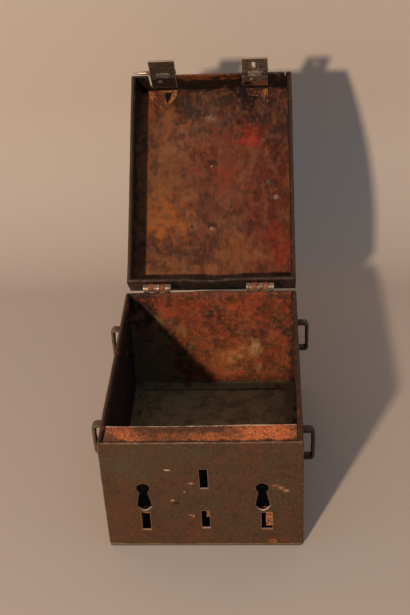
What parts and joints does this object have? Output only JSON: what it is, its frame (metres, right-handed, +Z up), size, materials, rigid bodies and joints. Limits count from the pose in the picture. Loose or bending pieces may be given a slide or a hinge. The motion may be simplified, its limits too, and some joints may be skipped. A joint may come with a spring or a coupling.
{
  "type": "iron strongbox",
  "caption": "Small sheet-iron strongbox with a hinged lid thrown back, a lock compartment behind a slotted front panel, hasps on the lid rim and strap loops on the sides.",
  "frame": {"origin": "centre of the body's underside", "axes": "+X to the right seen from the front, +Y from the keyholes to the hinges, +Z up"},
  "size_m": [0.1688, 0.3834, 0.259],
  "materials": {
    "shell_iron": "dark brown patina over hand-worked sheet iron with rust mottling and worn edges",
    "inner_iron": "rust-red and ochre oxide on bare sheet iron",
    "ledge_iron": "bright orange rust on bare sheet iron",
    "fitting_iron": "dark forged iron, worn on the edges",
    "worn_iron": "iron rubbed bare by handling, dull grey",
    "rust_iron": "heavily rusted forged iron, orange-brown"
  },
  "bodies": {
    "body": {"floor_plate": "inner_iron", "front_panel": "shell_iron", "rear_wall": "inner_iron", "left_wall": "shell_iron", "right_wall": "shell_iron", "lock_partition": "inner_iron", "lock_ledge": "ledge_iron", "right_front_loop": "fitting_iron", "right_rear_loop": "fitting_iron", "left_front_loop": "fitting_iron", "left_rear_loop": "fitting_iron", "left_hinge_base_leaf": "worn_iron", "right_hinge_base_leaf": "worn_iron", "left_hinge_pin": "worn_iron", "right_hinge_pin": "worn_iron", "left_hinge_base_rivet_1": "fitting_iron", "left_hinge_base_rivet_2": "fitting_iron", "right_hinge_base_rivet_1": "fitting_iron", "right_hinge_base_rivet_2": "fitting_iron", "left_guide_strap": "fitting_iron", "left_guide_clip": "fitting_iron", "left_head_guide": "fitting_iron", "left_bolt_spring": "worn_iron", "left_lock_bridge": "fitting_iron", "right_guide_strap": "fitting_iron", "right_guide_clip": "fitting_iron", "right_head_guide": "fitting_iron", "right_bolt_spring": "worn_iron", "right_lock_bridge": "fitting_iron"},
    "lid": {"lid_shell": "inner_iron", "left_hinge_lid_leaf": "rust_iron", "right_hinge_lid_leaf": "rust_iron", "left_hinge_lid_rivet_1": "fitting_iron", "left_hinge_lid_rivet_2": "fitting_iron", "right_hinge_lid_rivet_1": "fitting_iron", "right_hinge_lid_rivet_2": "fitting_iron", "left_hasp_leaf": "fitting_iron", "right_hasp_leaf": "fitting_iron", "left_hasp_pin": "worn_iron", "left_pin_washer": "worn_iron", "right_hasp_pin": "worn_iron", "left_fork_bracket": "rust_iron", "right_hook_bracket": "rust_iron", "left_hasp_rivet": "worn_iron", "right_hasp_rivet": "worn_iron", "left_fork_rivet": "rust_iron", "right_hook_rivet": "rust_iron", "lid_plug_1": "worn_iron", "lid_plug_2": "worn_iron", "lid_plug_3": "worn_iron", "lid_plug_4": "worn_iron", "lid_plug_5": "worn_iron", "lid_plug_6": "worn_iron"},
    "left_hasp": {"left_hasp_flap": "fitting_iron"},
    "right_hasp": {"right_hasp_flap": "fitting_iron"},
    "left_lock_bolt": {"left_bolt": "rust_iron"},
    "right_lock_bolt": {"right_bolt": "rust_iron"}
  },
  "joints": [
    {"name": "lid_hinge", "type": "hinge", "parent": "body", "child": "lid", "pos_m": [0, 0.1066, 0.10415], "axis": [-1, 0, 0], "range_deg": [-139, 41]},
    {"name": "left_hasp_hinge", "type": "hinge", "parent": "lid", "child": "left_hasp", "pos_m": [-0.045, 0.26596, 0.24168], "axis": [-1, 0, 0], "range_deg": [-5, 165]},
    {"name": "right_hasp_hinge", "type": "hinge", "parent": "lid", "child": "right_hasp", "pos_m": [0.041, 0.26596, 0.24168], "axis": [-1, 0, 0], "range_deg": [-5, 165]},
    {"name": "left_bolt_slide", "type": "slide", "parent": "body", "child": "left_lock_bolt", "axis": [1, 0, 0], "range_m": [0, 0.009]},
    {"name": "right_bolt_slide", "type": "slide", "parent": "body", "child": "right_lock_bolt", "axis": [-1, 0, 0], "range_m": [-0.0048, 0.0042]}
  ]
}
